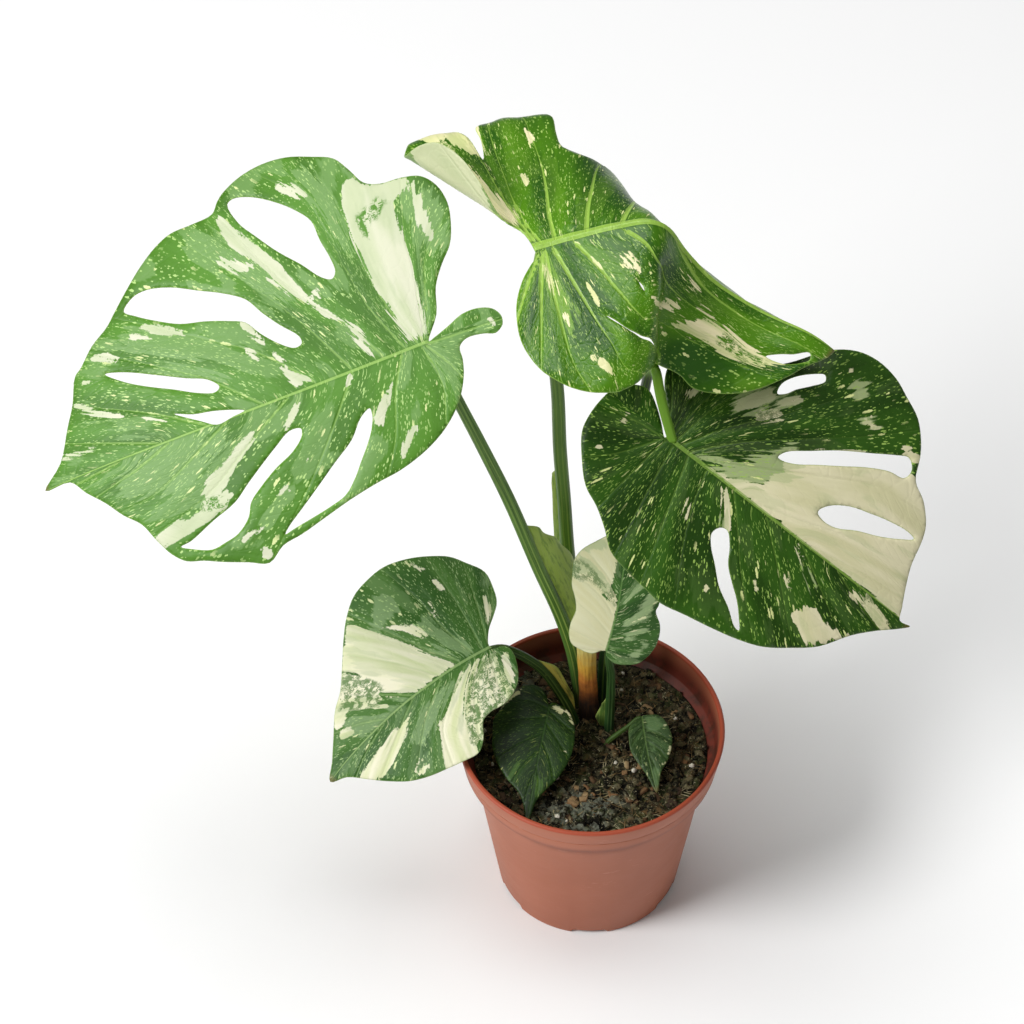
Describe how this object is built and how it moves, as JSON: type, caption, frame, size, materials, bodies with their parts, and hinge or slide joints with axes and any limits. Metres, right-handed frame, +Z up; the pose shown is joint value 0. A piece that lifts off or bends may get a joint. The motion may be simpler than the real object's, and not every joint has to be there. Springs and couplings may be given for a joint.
{
  "type": "potted thai constellation monstera",
  "caption": "Variegated monstera house plant with split leaves on tall stalks, growing from soil in a tapered plastic nursery pot.",
  "frame": {"origin": "centre of the underside of the pot, on the surface that it stands on", "axes": "+Z up, -Y towards the front from which the leaves are seen, +X to the right"},
  "size_m": [0.4677, 0.2368, 0.4733],
  "materials": {
    "pot": "matt terracotta-coloured plastic",
    "soil": "loose peat with bark and perlite",
    "stem": "rough brown stem",
    "dry_sheath": "dry, papery",
    "leaf_large": "waxy leaf with cream flecks",
    "leaf_glossy": "glossy leaf with cream patches",
    "leaf_small": "waxy leaf with cream flecks",
    "leaf_cream": "waxy leaf, half cream",
    "stalk": "smooth, slightly waxy"
  },
  "bodies": {
    "root": {"pot": "pot", "soil": "soil", "stem": "stem", "dry_sheath": "dry_sheath", "leaf_left": "leaf_large", "leaf_top": "leaf_glossy", "leaf_right": "leaf_large", "leaf_low": "leaf_small", "leaf_centre": "leaf_cream", "leaf_front_left": "leaf_small", "leaf_front_right": "leaf_small", "stalk_left": "stalk", "stalk_top": "stalk", "stalk_right": "stalk", "stalk_low": "stalk", "stalk_centre": "stalk", "stalk_front_left": "stalk", "stalk_front_right": "stalk"}
  },
  "joints": []
}
